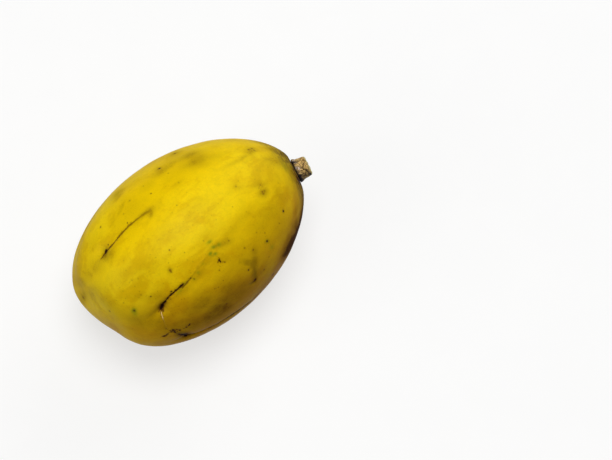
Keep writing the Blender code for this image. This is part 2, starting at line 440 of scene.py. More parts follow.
# The creases on the hidden side, and the pale fibre that shows at the end of a crack
hiddenLine = SkinLine(None, (0, 0.04, 0.6), (0.3, 0.3, 0.24), None, (0.4, 0.65, 0.8))
hiddenGroove = (0.2, 0.6, 0.4)  # mm deep, mm wide, share of its length over which it opens
hiddenCreases = {
    "creaseE": ((-0.14, -68), (-0.74, -73), 2, 3),  # start and end along and around, wobble, seed
    "creaseF": ((-0.1, 161), (-0.72, 154), 2.5, 5),
}
fibreLine = SkinLine(
    [(161.2, 311.6), (161.6, 314), (162.4, 316.6), (163.3, 319.2)],
    (0.8, 1, 0.8), (0.17, 0.21, 0.14), (-0.05, -0.1, 0), (1, 0.9, 0.4),
)

# Round marks: pixel, radius in mm, how dark
photoSpecks = [
    (105.9, 251.7, 0.56, 1), (108.2, 244.7, 0.2, 0.7), (158.8, 311.8, 0.2, 0.55), (163, 311.2, 0.24, 0.75),
    (127.3, 222.9, 0.18, 0.8), (100.5, 227.1, 0.26, 0.6), (129.6, 200.7, 0.26, 0.35),
    (151, 193.4, 0.22, 0.65), (159.5, 168.3, 0.3, 0.9), (169.4, 250.1, 0.22, 0.65),
    (170.2, 270.3, 0.36, 0.6), (171.2, 272, 0.24, 0.5), (219.2, 260, 0.28, 0.9), (220.6, 261.8, 0.24, 0.9),
    (218.9, 257.6, 0.14, 0.7), (224.6, 262.2, 0.24, 0.65), (217.6, 262.6, 0.14, 0.6), (283.5, 211.2, 0.3, 1),
    (267.2, 241.2, 0.28, 0.9), (248.7, 270, 0.22, 0.9), (264.2, 269.7, 0.2, 0.6), (273, 274.5, 0.24, 0.8),
    (255.6, 279.8, 0.36, 0.85), (253.8, 281.6, 0.2, 0.5), (171.2, 291.6, 0.22, 0.9), (181.4, 286, 0.28, 0.9),
    (170.6, 296, 0.26, 1), (165, 303, 0.32, 1), (162.6, 305.6, 0.36, 1), (190.8, 278.1, 0.2, 0.85),
    (194.4, 279, 0.16, 0.6), (185.4, 334.7, 0.56, 1), (185.7, 336, 0.5, 1), (182.2, 334.8, 0.42, 0.9),
    (179.4, 334.4, 0.34, 0.7), (173, 330, 0.3, 0.95), (175.2, 332.4, 0.28, 0.9), (171.4, 332, 0.26, 0.9),
    (179.7, 330.3, 0.27, 0.95), (176.6, 329.4, 0.2, 0.7), (174.6, 331.2, 0.22, 0.9),
    (164.2, 336.4, 0.26, 0.9), (166.4, 328.6, 0.14, 0.5), (169.4, 330.6, 0.15, 0.6), (189.3, 325.1, 0.22, 1),
    (189.9, 323.8, 0.15, 0.8), (186.4, 327.3, 0.22, 0.95), (83.3, 297.5, 0.34, 0.5),
    (109.7, 311.3, 0.22, 0.6), (123.5, 303, 0.18, 0.5), (150.8, 296.6, 0.22, 0.7), (170.6, 299.4, 0.14, 0.5),
    (160.4, 309.6, 0.2, 0.8), (162.8, 309.4, 0.24, 0.8), (262.6, 191.6, 0.24, 0.45),
    (263.6, 193.9, 0.24, 0.55), (264.6, 190.7, 0.18, 0.45), (260.4, 185, 0.2, 0.5), (259, 188, 0.16, 0.4),
    (215, 288.7, 0.16, 0.6), (218.6, 287.2, 0.14, 0.55), (226.6, 304, 0.24, 0.5), (244.7, 248, 0.26, 0.55),
    (253.3, 250, 0.26, 0.6), (134.2, 310.8, 0.26, 0.7), (174.6, 153.6, 0.24, 0.7), (248.7, 149.6, 0.24, 0.6),
    (251.8, 148.4, 0.22, 0.6), (254.6, 150.6, 0.2, 0.5), (219.4, 270.4, 0.24, 0.5), (168.6, 263, 0.14, 0.4),
    (184.6, 252.6, 0.14, 0.4), (228.8, 240.6, 0.24, 0.5), (232.6, 206.8, 0.16, 0.3),
    (203.6, 240.8, 0.2, 0.35), (279.4, 223.4, 0.14, 0.6), (256.6, 232.6, 0.18, 0.4), (265, 233, 0.2, 0.5),
    # the specks from (298.6, 179.6) to (295, 173.2) lie along the stem's foot and are partly painted shade
    # of the crevice there
    (223.4, 280.6, 0.12, 0.6), (269, 256.8, 0.14, 0.5), (298.6, 179.6, 0.5, 0.9), (300, 181.8, 0.6, 1),
    (301.4, 183.8, 0.5, 1), (296.8, 176.6, 0.3, 0.8), (290.8, 162.6, 0.3, 0.9), (293.4, 169.6, 0.26, 0.8),
    (295, 173.2, 0.24, 0.7), (141, 295, 0.24, 0.35), (132, 280.4, 0.3, 0.25), (178.8, 182.6, 0.24, 0.3),
    (176.8, 205.2, 0.2, 0.4), (143.4, 186, 0.16, 0.4), (168.2, 173.2, 0.18, 0.4), (123.6, 214, 0.2, 0.3),
    (236, 186.4, 0.2, 0.4),
]

# Soft stains: pixel, reach in mm along and across the direction, direction in degrees, strength
photoStains = {
    "brown": [
        # the next seven rows lie along the dark right flank and above crease C: brown stain with painted
        # shade of that flank and fold
        (302.4, 213, 3, 0.8, 82, 1.4), (301.4, 220, 3, 1, 76, 1.8), (299.6, 227, 3.2, 1.1, 72, 2),
        (297, 234, 3.2, 1.1, 66, 2), (293.4, 241, 3.2, 1, 60, 1.9), (289.8, 247.6, 2.8, 0.9, 58, 1.6),
        (286, 254, 2.4, 0.6, 56, 0.7), (297, 225, 2.6, 0.8, 70, 0.7), (292, 236.6, 2.4, 0.8, 64, 0.7),
        (276, 266, 4.5, 1.4, 50, 0.15), (302.4, 203, 3, 0.5, 84, 0.8), (297, 209, 2.2, 0.5, 75, 0.35),
        (222, 308, 4.6, 1.8, 38, 0.75), (236, 296, 4.4, 1.6, 40, 0.45), (211, 316, 3.6, 1.4, 30, 0.7),
        (193, 325, 3, 1.4, 15, 0.6), (200, 307, 3.2, 1.6, 30, 0.4), (178, 327, 3, 1.4, 10, 0.5),
        (228, 290, 2.2, 1.6, 30, 0.4), (248, 287, 3, 1.4, 40, 0.3), (166, 327, 2.6, 2, 0, 0.4),
        (258, 275, 3, 1.4, 45, 0.25), (159, 318.5, 2.2, 2, 0, 0.4), (162.6, 305, 1.2, 0.9, 45, 0.6),
        (255, 277.5, 1.6, 0.8, 90, 0.6), (254.8, 264, 1.6, 0.7, 85, 0.7), (254.4, 252, 1.2, 0.7, 85, 0.4),
        (266, 284, 3.5, 1.4, 45, 0.15), (197, 160.8, 2.2, 1, 25, 0.4), (189, 156, 2.4, 0.7, 20, 0.35),
        (174.5, 153.5, 1.8, 0.8, 15, 0.35), (251.5, 149.9, 0.9, 0.6, 20, 0.2),
        (263.6, 192.2, 0.8, 0.7, 0, 0.3), (170.2, 270.6, 0.6, 0.6, 0, 0.4), (83.3, 297.4, 1.4, 0.9, 60, 0.4),
        # the first four stains from here, along the stem's foot, are partly painted shade of the crevice
        # there, as is the stain at (301.6, 184.5)
        (288, 160, 1.8, 0.6, -55, 0.4), (291.5, 169, 2.4, 0.7, -62, 0.4), (295.6, 178, 2, 0.8, -62, 0.5),
        (301, 188, 1.8, 0.8, -68, 0.6), (284, 153.6, 1.8, 0.6, -35, 0.75), (272.8, 150, 2.2, 0.5, -30, 0.5),
        (260, 142.2, 2.8, 0.5, -15, 0.55), (116.5, 194.5, 1.6, 0.8, 45, 0.4), (184, 335, 1.6, 0.8, 5, 0.9),
        (104.6, 255.4, 1, 0.6, 50, 0.6), (147.5, 211.6, 1.2, 0.6, 25, 0.35),
        (151.4, 214.4, 0.8, 0.4, 80, 0.35), (142, 215, 1, 0.5, 38, 0.4), (301.6, 184.5, 0.9, 0.7, -60, 1.4),
        (222.5, 244.5, 1, 0.5, 20, 0.3), (226.5, 243, 1.2, 0.6, 20, 0.3), (161.4, 309.6, 0.9, 0.7, 0, 0.8),
        (141, 322, 3, 1.2, -20, 0.3), (153, 323, 2.4, 1.6, 10, 0.3),
    ],
    "olive": [
        (196, 160, 2.8, 1.8, 25, 0.6), (190, 154, 2.6, 1, 20, 0.55), (201.5, 164.5, 2, 1, 20, 0.4),
        (186, 164, 3, 1.5, 30, 0.4), (163, 170, 2.8, 1, 40, 0.6), (171, 164.5, 2.4, 1, 38, 0.5),
        (179, 159, 2.6, 1.6, 30, 0.35), (211, 157, 2.6, 1, 10, 0.35), (158.4, 169.6, 1, 0.8, 20, 0.5),
        (176, 173, 5, 2, 35, 0.25), (132, 210, 4.4, 3.4, 45, 0.35), (120, 222, 4, 3, 55, 0.25),
        (150, 210.6, 2, 1.2, 40, 0.55), (140, 217, 3.4, 0.8, 38, 0.5), (128, 226.5, 3, 0.6, 42, 0.5),
        (157, 205, 2, 1.4, 40, 0.3), (107, 256, 1.8, 1.1, 45, 0.8), (97, 264, 2.6, 1.8, 45, 0.55),
        (88, 274, 2.4, 1.8, 45, 0.4), (81.8, 283.3, 1.6, 1.3, 60, 0.45), (94, 292, 3, 2, 20, 0.35),
        (93, 243, 3.2, 1.6, 60, 0.3), (121.5, 208.4, 2.2, 0.6, 70, 0.5), (271, 214, 3.2, 2.4, 40, 0.5),
        (262, 226, 3.4, 2.4, 40, 0.4), (283, 228, 4.2, 3.4, 60, 0.5), (266, 240, 4, 3, 40, 0.35),
        (279, 176, 3, 3, 60, 0.2), (290, 186, 3.6, 1.6, -65, 0.25), (284.5, 164, 2.6, 1.3, -58, 0.35),
        (297, 196, 3.6, 1.1, -75, 0.35), (276, 161, 2.4, 1.4, -30, 0.7), (281, 155, 2.4, 0.9, -35, 0.3),
        (280, 196, 3, 1.3, -72, 0.3), (247, 262, 3.4, 2.6, 40, 0.45), (258, 258, 3.2, 5, 60, 0.35),
        (246, 262.4, 2.4, 0.7, 5, 0.6), (236, 288, 6, 3, 40, 0.4), (205, 302, 3.6, 2.2, 30, 0.6),
        (214, 308, 5, 2.6, 36, 0.5), (192, 316, 4.4, 2.6, 28, 0.5), (222, 259, 2, 1.2, 0, 0.4),
        (152, 320, 4, 2.4, -20, 0.6), (139, 321, 3.4, 1.8, -30, 0.5), (112, 308, 6, 1.6, -30, 0.35),
        (172, 311, 2.2, 3, 0, 0.4), (185, 305, 2.2, 2.6, 40, 0.25), (251, 151.4, 1.3, 1, 20, 0.5),
        (244.5, 156.6, 1.7, 0.5, 35, 0.45), (234, 162.8, 2.6, 0.5, 27, 0.4), (206, 236, 1.8, 1.2, 40, 0.25),
        (260.6, 185.4, 1.4, 1, 0, 0.5), (263.6, 192.6, 1.3, 1.1, 60, 0.7), (224, 242.6, 2.6, 1, 25, 0.45),
        (199, 204, 4, 1.6, 35, 0.2), (158, 236, 5, 1.8, 40, 0.18), (143, 271, 5, 2.4, 30, 0.25),
        (121, 277, 4, 2.4, 30, 0.25), (153.5, 297.5, 2.2, 0.9, 20, 0.5), (141, 297, 2, 1, 0, 0.35),
        (199, 275, 2.6, 0.8, 45, 0.5), (207, 263.5, 2.6, 0.7, 48, 0.4), (184.5, 290, 2.4, 0.8, 42, 0.6),
        (147, 186, 3, 1.2, 40, 0.3), (236.5, 187, 1.4, 0.9, 0, 0.3), (200, 199, 1.4, 0.8, 0, 0.3),
        (178, 183, 2, 1, 40, 0.3), (244, 217, 3.4, 1.2, 38, 0.3), (232, 230, 4, 1.2, 38, 0.25),
    ],
    "green": [
        (209.4, 241.9, 0.55, 0.3, 30, 1.2), (213.2, 247.2, 0.5, 0.32, 20, 1.3),
        (219, 244.6, 0.38, 0.34, 30, 1.1), (210.4, 253.6, 0.45, 0.3, 40, 1.3),
        (215.4, 253.8, 0.45, 0.3, 10, 1.1), (216.4, 246, 0.3, 0.2, 0, 0.7),
        (207.2, 243.2, 0.3, 0.2, 40, 0.7), (212.2, 256, 0.4, 0.2, 0, 0.6), (198.2, 272.6, 0.36, 0.3, 0, 0.8),
        (203, 263.5, 0.3, 0.2, 0, 0.5), (194, 279, 0.4, 0.25, 0, 0.8), (182.6, 285.4, 0.9, 0.3, 45, 1),
        (179.6, 291, 1, 0.3, 45, 0.6), (134.2, 310.8, 0.6, 0.55, 60, 1.5), (135, 313.4, 0.6, 0.7, 0, 0.8),
        (267.4, 241.2, 0.4, 0.35, 0, 0.9), (272, 247, 0.6, 0.4, 60, 0.6), (285, 166, 1.6, 0.5, -58, 0.5),
        (181, 334, 1, 0.4, 0, 0.5),
    ],
}


def layLines(mesh, tree, co):
    # every line becomes a field for the material and a groove in the skin
    lines = {name: (surfacePath(tree, line.path), line) for name, line in photoLines.items()}
    lines["fibre"] = (surfacePath(tree, fibreLine.path), fibreLine)
    depth = np.zeros(len(co))
    for name, ((points, outward), line) in lines.items():
        field = lineField(co, points, outward)
        along = np.clip(field[:, 1], 0, 1)
        wide = threeAlong(line.wide, along)
        deep = threeAlong(line.deep, along)
        starting = ramp(field[:, 1], *layingSet["grooveStart"])
        fade = starting * (1 - ramp(field[:, 1], *layingSet["grooveEnd"])) * field[:, 2]
        depth += deep * fade * np.exp(-((field[:, 0] / (layingSet["grooveSpread"] * wide)) ** 2))
        keepField(mesh, name, field)
    hidden = [lineField(co, *hiddenPath(tree, *place)) for place in hiddenCreases.values()]
    field = np.where(hidden[0][:, 2:] > 0, hidden[0], hidden[1])
    keepField(mesh, "hiddenCrease", field)
    deep, wide, opening = hiddenGroove
    share = np.exp(-((field[:, 0] / wide) ** 2)) * ramp(field[:, 1], 0, opening)
    share = share * (1 - ramp(field[:, 1], *layingSet["grooveEnd"]))
    return depth + deep * share * field[:, 2]


def laySpecks(mesh, tree, co):
    specks = []
    for px, py, radius, dark in photoSpecks:
        point, outward = surfacePoint(tree, px, py)
        if point is not None:
            facing = max(outward.dot(towardsCamera), layingSet["speckFacing"])
            specks.append((point, radius * mm / math.sqrt(facing), dark))
    for point, outward, draw in hiddenPlaces(tree, fruitSet["hiddenSpecks"], fruitSet["seeds"][0]):
        radius = draw.uniform(*fruitSet["speckRadii"]) * mm
        specks.append((point, radius, draw.uniform(*fruitSet["speckDark"])))
    chosen = nearestSpecks(co, specks)
    centres = np.array([point for point, radius, dark in specks])
    radii = np.array([radius for point, radius, dark in specks])[chosen]
    darkness = np.array([dark for point, radius, dark in specks])[chosen]
    keepField(mesh, "speckRadius", radii)
    keepField(mesh, "speckDarkness", darkness)
    nearness = np.linalg.norm(co - centres[chosen], axis=1) / radii
    deep, wide = fruitSet["speckDent"]
    return deep * darkness * np.exp(-((nearness / wide) ** 2)), centres, chosen


def layStains(mesh, tree, co):
    for seed, (kind, marks) in enumerate(photoStains.items(), fruitSet["seeds"][1]):
        stains = [placedStain(tree, *mark) for mark in marks]
        for point, outward, draw in hiddenPlaces(tree, fruitSet["hiddenStains"][kind], seed):
            size = fruitSet["greenSize"]
            if kind != "green":
                size = draw.uniform(*fruitSet["stainSize"])
            along = np.array((fruitSet["axis"] - outward * fruitSet["axis"].dot(outward)).normalized())
            across = np.cross(np.array(outward), along)
            strength = draw.uniform(*fruitSet["stainStrength"])
            longer = size * draw.uniform(*fruitSet["stainLonger"])
            stains.append(stainAt(point, outward, along * longer, across * size, strength))
        keepField(mesh, kind + "Stain", stainField(co, [s for s in stains if s]))


def layPaintedShadeSide(mesh, co):
    # painted shade: the lower side, away from the light, is made browner and darker; partly the skin's own
    # browner side
    offset = co - np.array(cameraSet["middle"])
    up = np.cross(np.array(fruitSet["axis"]), [0, 1, 0])
    angle = np.degrees(np.arctan2(-offset[:, 1], offset @ up)) % 360
    first, full, last, end = fruitSet["paintedShadeSide"]
    browner = ramp(angle, first, full) * (1 - ramp(angle, last, end))
    along = offset @ np.array(fruitSet["axis"]) / fruitSet["halfLength"]
    least, tip, body = fruitSet["paintedShadeAtTip"]
    keepField(mesh, "paintedShadeSide", browner * (least + (1 - least) * ramp(along, tip, body)))


def roundStem(co, ring):
    # height over the seat and distance from the stem's line in mm, and a place that runs round the stem
    # on a ring, as on a sheet rolled round it
    out = np.array(fruitSet["stemOut"])
    offset = co - np.array(fruitSet["stemSeat"])
    height = offset @ out
    beside = np.linalg.norm(offset - height[:, None] * out, axis=1) / mm
    side = np.cross(out, [0.0, 0.0, 1.0])
    turn = np.arctan2(offset @ side, offset @ np.cross(side, out))
    return height / mm, beside, np.cos(turn) * ring, np.sin(turn) * ring


def layCollar(mesh, co):
    # fine wrinkles gather round the stem
    height, beside, acrossRing, upRing = roundStem(co, fruitSet["collarRing"])
    stemSide = height > fruitSet["stemSide"] / mm
    keepField(mesh, "fromStem", np.where(stemSide, beside, layingSet["beyondStem"]))
    keepField(mesh, "aroundStem", np.stack([acrossRing, upRing, beside], axis=1))
    high, rate, reach, start = fruitSet["collarRidges"]
    phase = beside * rate
    for axis, strength, sway in fruitSet["collarSway"]:
        phase = phase + strength * np.sin(co[:, axis] * sway)
    return high * np.sin(phase) * (np.exp(-((beside / reach) ** 2)) * (beside > start) * stemSide)


def makeFruit():
    obj = copyOfNode("fruit", "fruitSkin")
    evenMesh(obj, fruitSet["cell"], fruitSet["smoothing"])
    swell(obj, "dents", *fruitSet["dents"])
    swell(obj, "ripples", *fruitSet["ripples"])
    mesh = obj.data
    say(f"skin has {len(mesh.polygons)} faces")

    tree = BVHTree.FromObject(obj, bpy.context.evaluated_depsgraph_get())
    co = coordinates(mesh)
    no = normals(mesh)
    depth = layLines(mesh, tree, co)
    say("lines laid on the skin")
    dents, centres, chosen = laySpecks(mesh, tree, co)
    depth += dents
    layStains(mesh, tree, co)
    layPaintedShadeSide(mesh, co)
    depth += layCollar(mesh, co)
    say("specks, stains and wrinkles laid on the skin")

    for centre in centres:
        closest = np.argmin(((co - centre) ** 2).sum(axis=1))
        centre -= no[closest] * depth[closest] * mm
    keepField(mesh, "speckCentre", centres[chosen])
    co -= no * (depth * mm)[:, None]
    co[:, 2] = np.maximum(co[:, 2], 0)  # it still rests on its flat spot
    mesh.vertices.foreach_set("co", co.ravel())
    mesh.update()
    pick(obj)
    bpy.ops.object.shade_smooth()
    return obj


# Shader helpers

def nodeTree(name):
    material = bpy.data.materials.new(name)
    material.use_nodes = True
    tree = material.node_tree
    return material, tree, tree.nodes["Principled BSDF"]


class Wiring:
    # short calls for nodes that are often used, and the colour made so far
    def __init__(self, tree, tones=None, shares=None):
        self.tree = tree
        self.tones = tones
        self.shares = shares
        self.colour = None

    def give(self, node, inputs):
        # numbers and colours are set, all else is linked
        for key, value in inputs.items():
            if isinstance(value, (int, float, tuple)):
                node.inputs[key].default_value = value
            else:
                self.tree.links.new(value, node.inputs[key])

    def put(self, kind, inputs=(), **settings):
        node = self.tree.nodes.new(kind)
        for key, value in settings.items():
            setattr(node, key, value)
        self.give(node, dict(inputs))
        return node

    def math(self, operation, first, second=0.0, third=0.0, clamp=False):
        values = enumerate((first, second, third))
        return self.put("ShaderNodeMath", values, operation=operation, use_clamp=clamp).outputs[0]

    def times(self, first, second):
        return self.math("MULTIPLY", first, second)

    def sum(self, first, second, extra):
        # the first two multiplied, and the third added
        return self.math("MULTIPLY_ADD", first, second, extra)

    def highest(self, *values):
        top = values[0]
        for value in values[1:]:
            top = self.math("MAXIMUM", top, value)
        return top

    def band(self, value, low, high, toLow=0.0, toHigh=1.0):
        ends = {"Value": value, "From Min": low, "From Max": high, "To Min": toLow, "To Max": toHigh}
        return self.put("ShaderNodeMapRange", ends, interpolation_type="SMOOTHSTEP").outputs["Result"]

    def fall(self, value, low, high):
        return self.band(value, low, high, 1.0, 0.0)

    def threeBands(self, along, values):
        # the same run of values along a line as threeAlong
        first, middle, last = values
        rise = self.band(along, 0.0, 0.5, first, middle)
        return self.math("ADD", rise, self.band(along, 0.5, 1.0, 0.0, last - middle))

    def mix(self, share, first, second, blend="MIX"):
        inputs = {"Factor": share, 6: first, 7: second}
        return self.put("ShaderNodeMix", inputs, data_type="RGBA", blend_type=blend).outputs[2]

    def cover(self, share, name, strength=None):
        # lays one of the tones over what is below it
        if strength:
            share = self.times(share, self.shares[strength])
        self.colour = self.mix(share, self.colour, linear(self.tones[name]))

    def field(self, name, kind="Fac"):
        return self.put("ShaderNodeAttribute", attribute_name=name).outputs[kind]

    def vector(self, name):
        return self.field(name, "Vector")

    def split(self, vector):
        return self.put("ShaderNodeSeparateXYZ", {0: vector}).outputs

    def mottling(self, place, scale, low=0.4, high=0.6, detail=3.0, roughness=0.6):
        inputs = {"Place": place, "Scale": scale, "Low": low, "High": high}
        inputs.update({"Detail": detail, "Roughness": roughness})
        return self.put("ShaderNodeGroup", inputs, node_tree=mottlingGroup).outputs

    def cells(self, place, scale, feature="F1"):
        inputs = {"Vector": place, "Scale": scale}
        return self.put("ShaderNodeTexVoronoi", inputs, feature=feature).outputs["Distance"]

    def stretched(self, place, scale):
        return self.put("ShaderNodeMapping", {"Vector": place, "Scale": scale}).outputs["Vector"]

    def feed(self, shader, settings, rough, height):
        shape = {"Strength": settings["bumpStrength"], "Distance": settings["bumpDistance"]}
        bump = self.put("ShaderNodeBump", {**shape, "Height": height}).outputs["Normal"]
        self.give(shader, {"Base Color": self.colour, "Roughness": rough, "Normal": bump})
        self.give(shader, {"Specular IOR Level": settings["specular"]})


def makeMottling():
    # soft patches of one size: the mask is 0 below Low, 1 above High and eased between
    group = bpy.data.node_groups.new("mottling", "ShaderNodeTree")
    group.interface.new_socket("Place", in_out="INPUT", socket_type="NodeSocketVector")
    for name, value in (("Scale", 400), ("Detail", 3), ("Roughness", 0.6), ("Low", 0.4), ("High", 0.6)):
        socket = group.interface.new_socket(name, in_out="INPUT", socket_type="NodeSocketFloat")
        socket.default_value = value
    for name in ("Mask", "Level"):
        group.interface.new_socket(name, in_out="OUTPUT", socket_type="NodeSocketFloat")
    wire = Wiring(group)
    given = wire.put("NodeGroupInput").outputs
    shape = {"Vector": given["Place"], "Distortion": 0.4}
    for name in ("Scale", "Detail", "Roughness"):
        shape[name] = given[name]
    level = wire.put("ShaderNodeTexNoise", shape).outputs["Fac"]
    wire.put("NodeGroupOutput", {"Mask": wire.band(level, given["Low"], given["High"]), "Level": level})
    return group


mottlingGroup = makeMottling()


# Skin

skinSet = {
    "golden": (232, 195, 2),
    "pale": (238, 206, 14),
    "ochre": (208, 168, 1),
    # colour of the painted shade on the lower side, partly browner skin
    "paintedShadeBrown": (190, 133, 1),
    "olive": (158, 124, 2),
    "brown": (92, 56, 5),
    "umber": (66, 30, 0),
    "collar": (112, 90, 2),
    # colour of the collar's wrinkles and of the painted shade beside the stem
    "wrinkleAndShade": (70, 50, 4),
    "green": (112, 130, 14),
    "crackAndFoldShade": (30, 10, 5),
    "crackEdge": (96, 44, 12),
    "rust": (112, 54, 6),
    "speck": (36, 12, 6),
    "fibre": (230, 196, 122),
    "roughness": 0.45,
    "specular": 0.045,
    "bumpStrength": 0.4,
    "bumpDistance": 0.12 * mm,
    "lengthwise": (0.45, 1, 1),  # patches are longer along the fruit
    "collarEnd": (14.6, 20.5),  # and the painted shade in the dark ring beside the stem
    "shadedRimEnd": (5.6, 7.8),  # and the dark rim beside the stem
    "pores": 620,
    "cells": 1500,
    "wobble": 0.4,  # mm that the cracks' colours wander
}

# The skin's patches: scale, low, high, detail and roughness of each
skinPatches = {
    "broad": (45, 0.38, 0.66, 2.0, 0.5),
    "cloudy": (130, 0.4, 0.6, 4.0),
    "mottle": (420, 0.4, 0.6, 4.0),
    "lineWidths": (750, 0.4, 0.6, 2.0),
    "wander": (1000, 0.4, 0.6, 3.0),
    "fine": (1900,),
    "stipple": (2300, 0.54, 0.66, 2.0, 0.7),
    "creping": (1.5, 0.4, 0.6, 5.0, 0.7),
}

# How strongly each colour covers what is below it
skinShares = {
    "ochre": 0.75, "stipple": 0.55, "umber": 0.85, "collar": 0.45, "russet": 0.9, "shadedRim": 0.8,
    "pores": 0.25, "besideCrack": 0.35, "crackEdge": 0.6, "halo": 0.3, "besideFibre": 0.5,
    "olive": 1.0, "brown": 1.05, "green": 0.85,
}


def lineMasks(wire, name, line, wobble, patches):
    # core, edge and soft stain of one line, uneven along its way
    field = wire.split(wire.vector(name))
    beside = wire.math("ABSOLUTE", wire.math("ADD", field["X"], wobble))
    along = field["Y"]
    wide = wire.times(wire.threeBands(along, line.wide), wire.band(patches, 0.3, 0.7, 0.6, 1.5))
    starting = wire.band(along, *layingSet["colourStart"])
    ends = wire.times(starting, wire.fall(along, *layingSet["colourEnd"]))
    dark = wire.times(wire.threeBands(along, line.dark), wire.times(ends, field["Z"]))
    share = wire.math("DIVIDE", beside, wide)
    core = wire.times(wire.fall(share, 0.4, 1.1), dark)
    edge = wire.times(wire.fall(share, 0.8, 2.2), dark)
    soft = wire.times(wire.threeBands(along, line.stain), wire.times(ends, field["Z"]))
    stain = wire.times(wire.fall(share, 0.4, 3.4), soft)
    return core, edge, stain


def tintSkin(wire, place, cloudy, mottle, fine):
    # golden skin with paler, less ripe and browner parts, and painted shade that browns the lower side
    alongFruit = wire.stretched(place, skinSet["lengthwise"])
    broad = wire.mottling(alongFruit, *skinPatches["broad"])["Mask"]
    wire.colour = wire.mix(broad, linear(skinSet["golden"]), linear(skinSet["pale"]))
    lessRipe = wire.sum(mottle, 0.35, wire.times(cloudy, 0.65))
    wire.cover(wire.band(lessRipe, 0.46, 0.62, 0.0, skinShares["ochre"]), "ochre")
    # painted shade: the lower side is browned and darkened
    wire.cover(wire.times(wire.field("paintedShadeSide"), wire.band(cloudy, 0.3, 0.7, 0.62, 1.0)), "paintedShadeBrown")
    grain = wire.sum(fine, 0.24, wire.sum(mottle, 0.34, 0.71))
    grey = wire.put("ShaderNodeCombineColor", {"Red": grain, "Green": grain, "Blue": grain})
    wire.colour = wire.mix(1.0, wire.colour, grey.outputs["Color"], "MULTIPLY")


def stainSkin(wire, place, cloudy, mottle, fine):
    # the placed stains, broken up, with fine stipple in them
    breakUp = wire.sum(mottle, 1.1, wire.sum(fine, 0.6, -0.42))
    breakUp = wire.sum(cloudy, 0.8, breakUp)
    stipple = wire.mottling(place, *skinPatches["stipple"])["Mask"]
    stains = {}
    for kind in ("olive", "brown", "green"):
        stain = wire.math("MULTIPLY", wire.field(kind + "Stain"), breakUp, clamp=True)
        stain = wire.math("MULTIPLY", stain, skinShares[kind], clamp=True)
        wire.cover(stain, kind)
        stains[kind] = stain
    # the darkest brown falls on the strongest stains along the right flank: stain with painted shade
    darkest = wire.times(wire.band(wire.field("brownStain"), 0.6, 1.9), breakUp)
    wire.cover(wire.math("MULTIPLY", darkest, skinShares["umber"], clamp=True), "umber")
    stained = wire.highest(stains["olive"], stains["brown"], wire.times(wire.field("paintedShadeSide"), 0.3))
    wire.cover(wire.times(stipple, stained), "brown", "stipple")
    return wire.highest(stains["brown"], darkest)


def makeSkin():
    material, tree, shader = nodeTree("goldenSkin")
    wire = Wiring(tree, skinSet, skinShares)
    place = wire.put("ShaderNodeTexCoord").outputs["Object"]
    cloudy = wire.mottling(wire.stretched(place, skinSet["lengthwise"]), *skinPatches["cloudy"])["Level"]
    mottle = wire.mottling(place, *skinPatches["mottle"])["Level"]
    fine = wire.mottling(place, *skinPatches["fine"])["Level"]

    tintSkin(wire, place, cloudy, mottle, fine)
    brown = stainSkin(wire, place, cloudy, mottle, fine)

    # wrinkled russet collar round the stem
    around = wire.vector("aroundStem")
    fromStem = wire.field("fromStem")
    ragged = wire.sum(mottle, 5.0, wire.sum(cloudy, 9.0, fromStem))
    collar = wire.fall(ragged, *skinSet["collarEnd"])
    creped = wire.mottling(around, *skinPatches["creping"])["Mask"]
    russet = wire.times(wire.times(collar, creped), wire.band(mottle, 0.3, 0.6, 0.4, 1.0))
    wire.cover(collar, "collar", "collar")
    wire.cover(russet, "wrinkleAndShade", "russet")
    # painted shade in the hollow round the stem's foot
    wire.cover(wire.band(fromStem, *skinSet["shadedRimEnd"], skinShares["shadedRim"], 0.0), "wrinkleAndShade")

    # small dots of the skin's pores
    pores = wire.fall(wire.cells(place, skinSet["pores"]), 0.06, 0.2)
    pores = wire.times(pores, wire.band(cloudy, 0.42, 0.6))
    wire.cover(pores, "brown", "pores")

    # soft stains beside the cracks, partly painted shade above crease C, then the round specks, then the
    # cracks themselves, with painted shade in crease C's fold
    wander = wire.mottling(place, *skinPatches["wander"])["Level"]
    wobble = wire.times(wire.math("SUBTRACT", wander, 0.5), skinSet["wobble"])
    patches = wire.mottling(place, *skinPatches["lineWidths"])["Level"]
    core = edge = side = 0.0
    for name, line in [*photoLines.items(), ("hiddenCrease", hiddenLine)]:
        masks = lineMasks(wire, name, line, wobble, patches)
        core = wire.highest(core, masks[0])
        edge = wire.highest(edge, masks[1])
        side = wire.highest(side, masks[2])
    side = wire.times(side, wire.band(mottle, 0.3, 0.6, 0.5, 1.0))
    wire.cover(side, "olive")
    wire.cover(wire.times(side, side), "brown", "besideCrack")
    wire.cover(edge, "crackEdge", "crackEdge")

    uneven = wire.math("SUBTRACT", fine, 0.5)
    ends = {0: place, 1: wire.vector("speckCentre")}
    offset = wire.put("ShaderNodeVectorMath", ends, operation="DISTANCE").outputs["Value"]
    nearness = wire.math("ADD", uneven, wire.math("DIVIDE", offset, wire.field("speckRadius")))
    darkness = wire.field("speckDarkness")
    speck = wire.times(wire.fall(nearness, 0.6, 1.2), darkness)
    halo = wire.times(wire.fall(nearness, 0.8, 3.0), darkness)
    wire.cover(halo, "brown", "halo")
    wire.cover(speck, "rust")
    wire.cover(wire.times(speck, wire.band(darkness, 0.45, 0.95)), "speck")
    # dark cracks and scars, with painted shade in crease C's fold
    wire.cover(core, "crackAndFoldShade")
    masks = lineMasks(wire, "fibre", fibreLine, wire.times(wobble, 0.5), patches)
    wire.cover(masks[2], "crackEdge", "besideFibre")
    wire.cover(masks[0], "fibre")

    # the gloss breaks up where the skin is stained or cracked
    rough = wire.sum(mottle, 0.12, skinSet["roughness"] - 0.06)
    rough = wire.math("MULTIPLY_ADD", wire.highest(brown, core), 0.35, rough, clamp=True)
    cells = wire.cells(place, skinSet["cells"])
    height = wire.sum(cells, 0.12, wire.times(wander, 0.45))
    height = wire.sum(speck, -0.5, height)
    wire.feed(shader, skinSet, rough, height)
    return material


# Stem

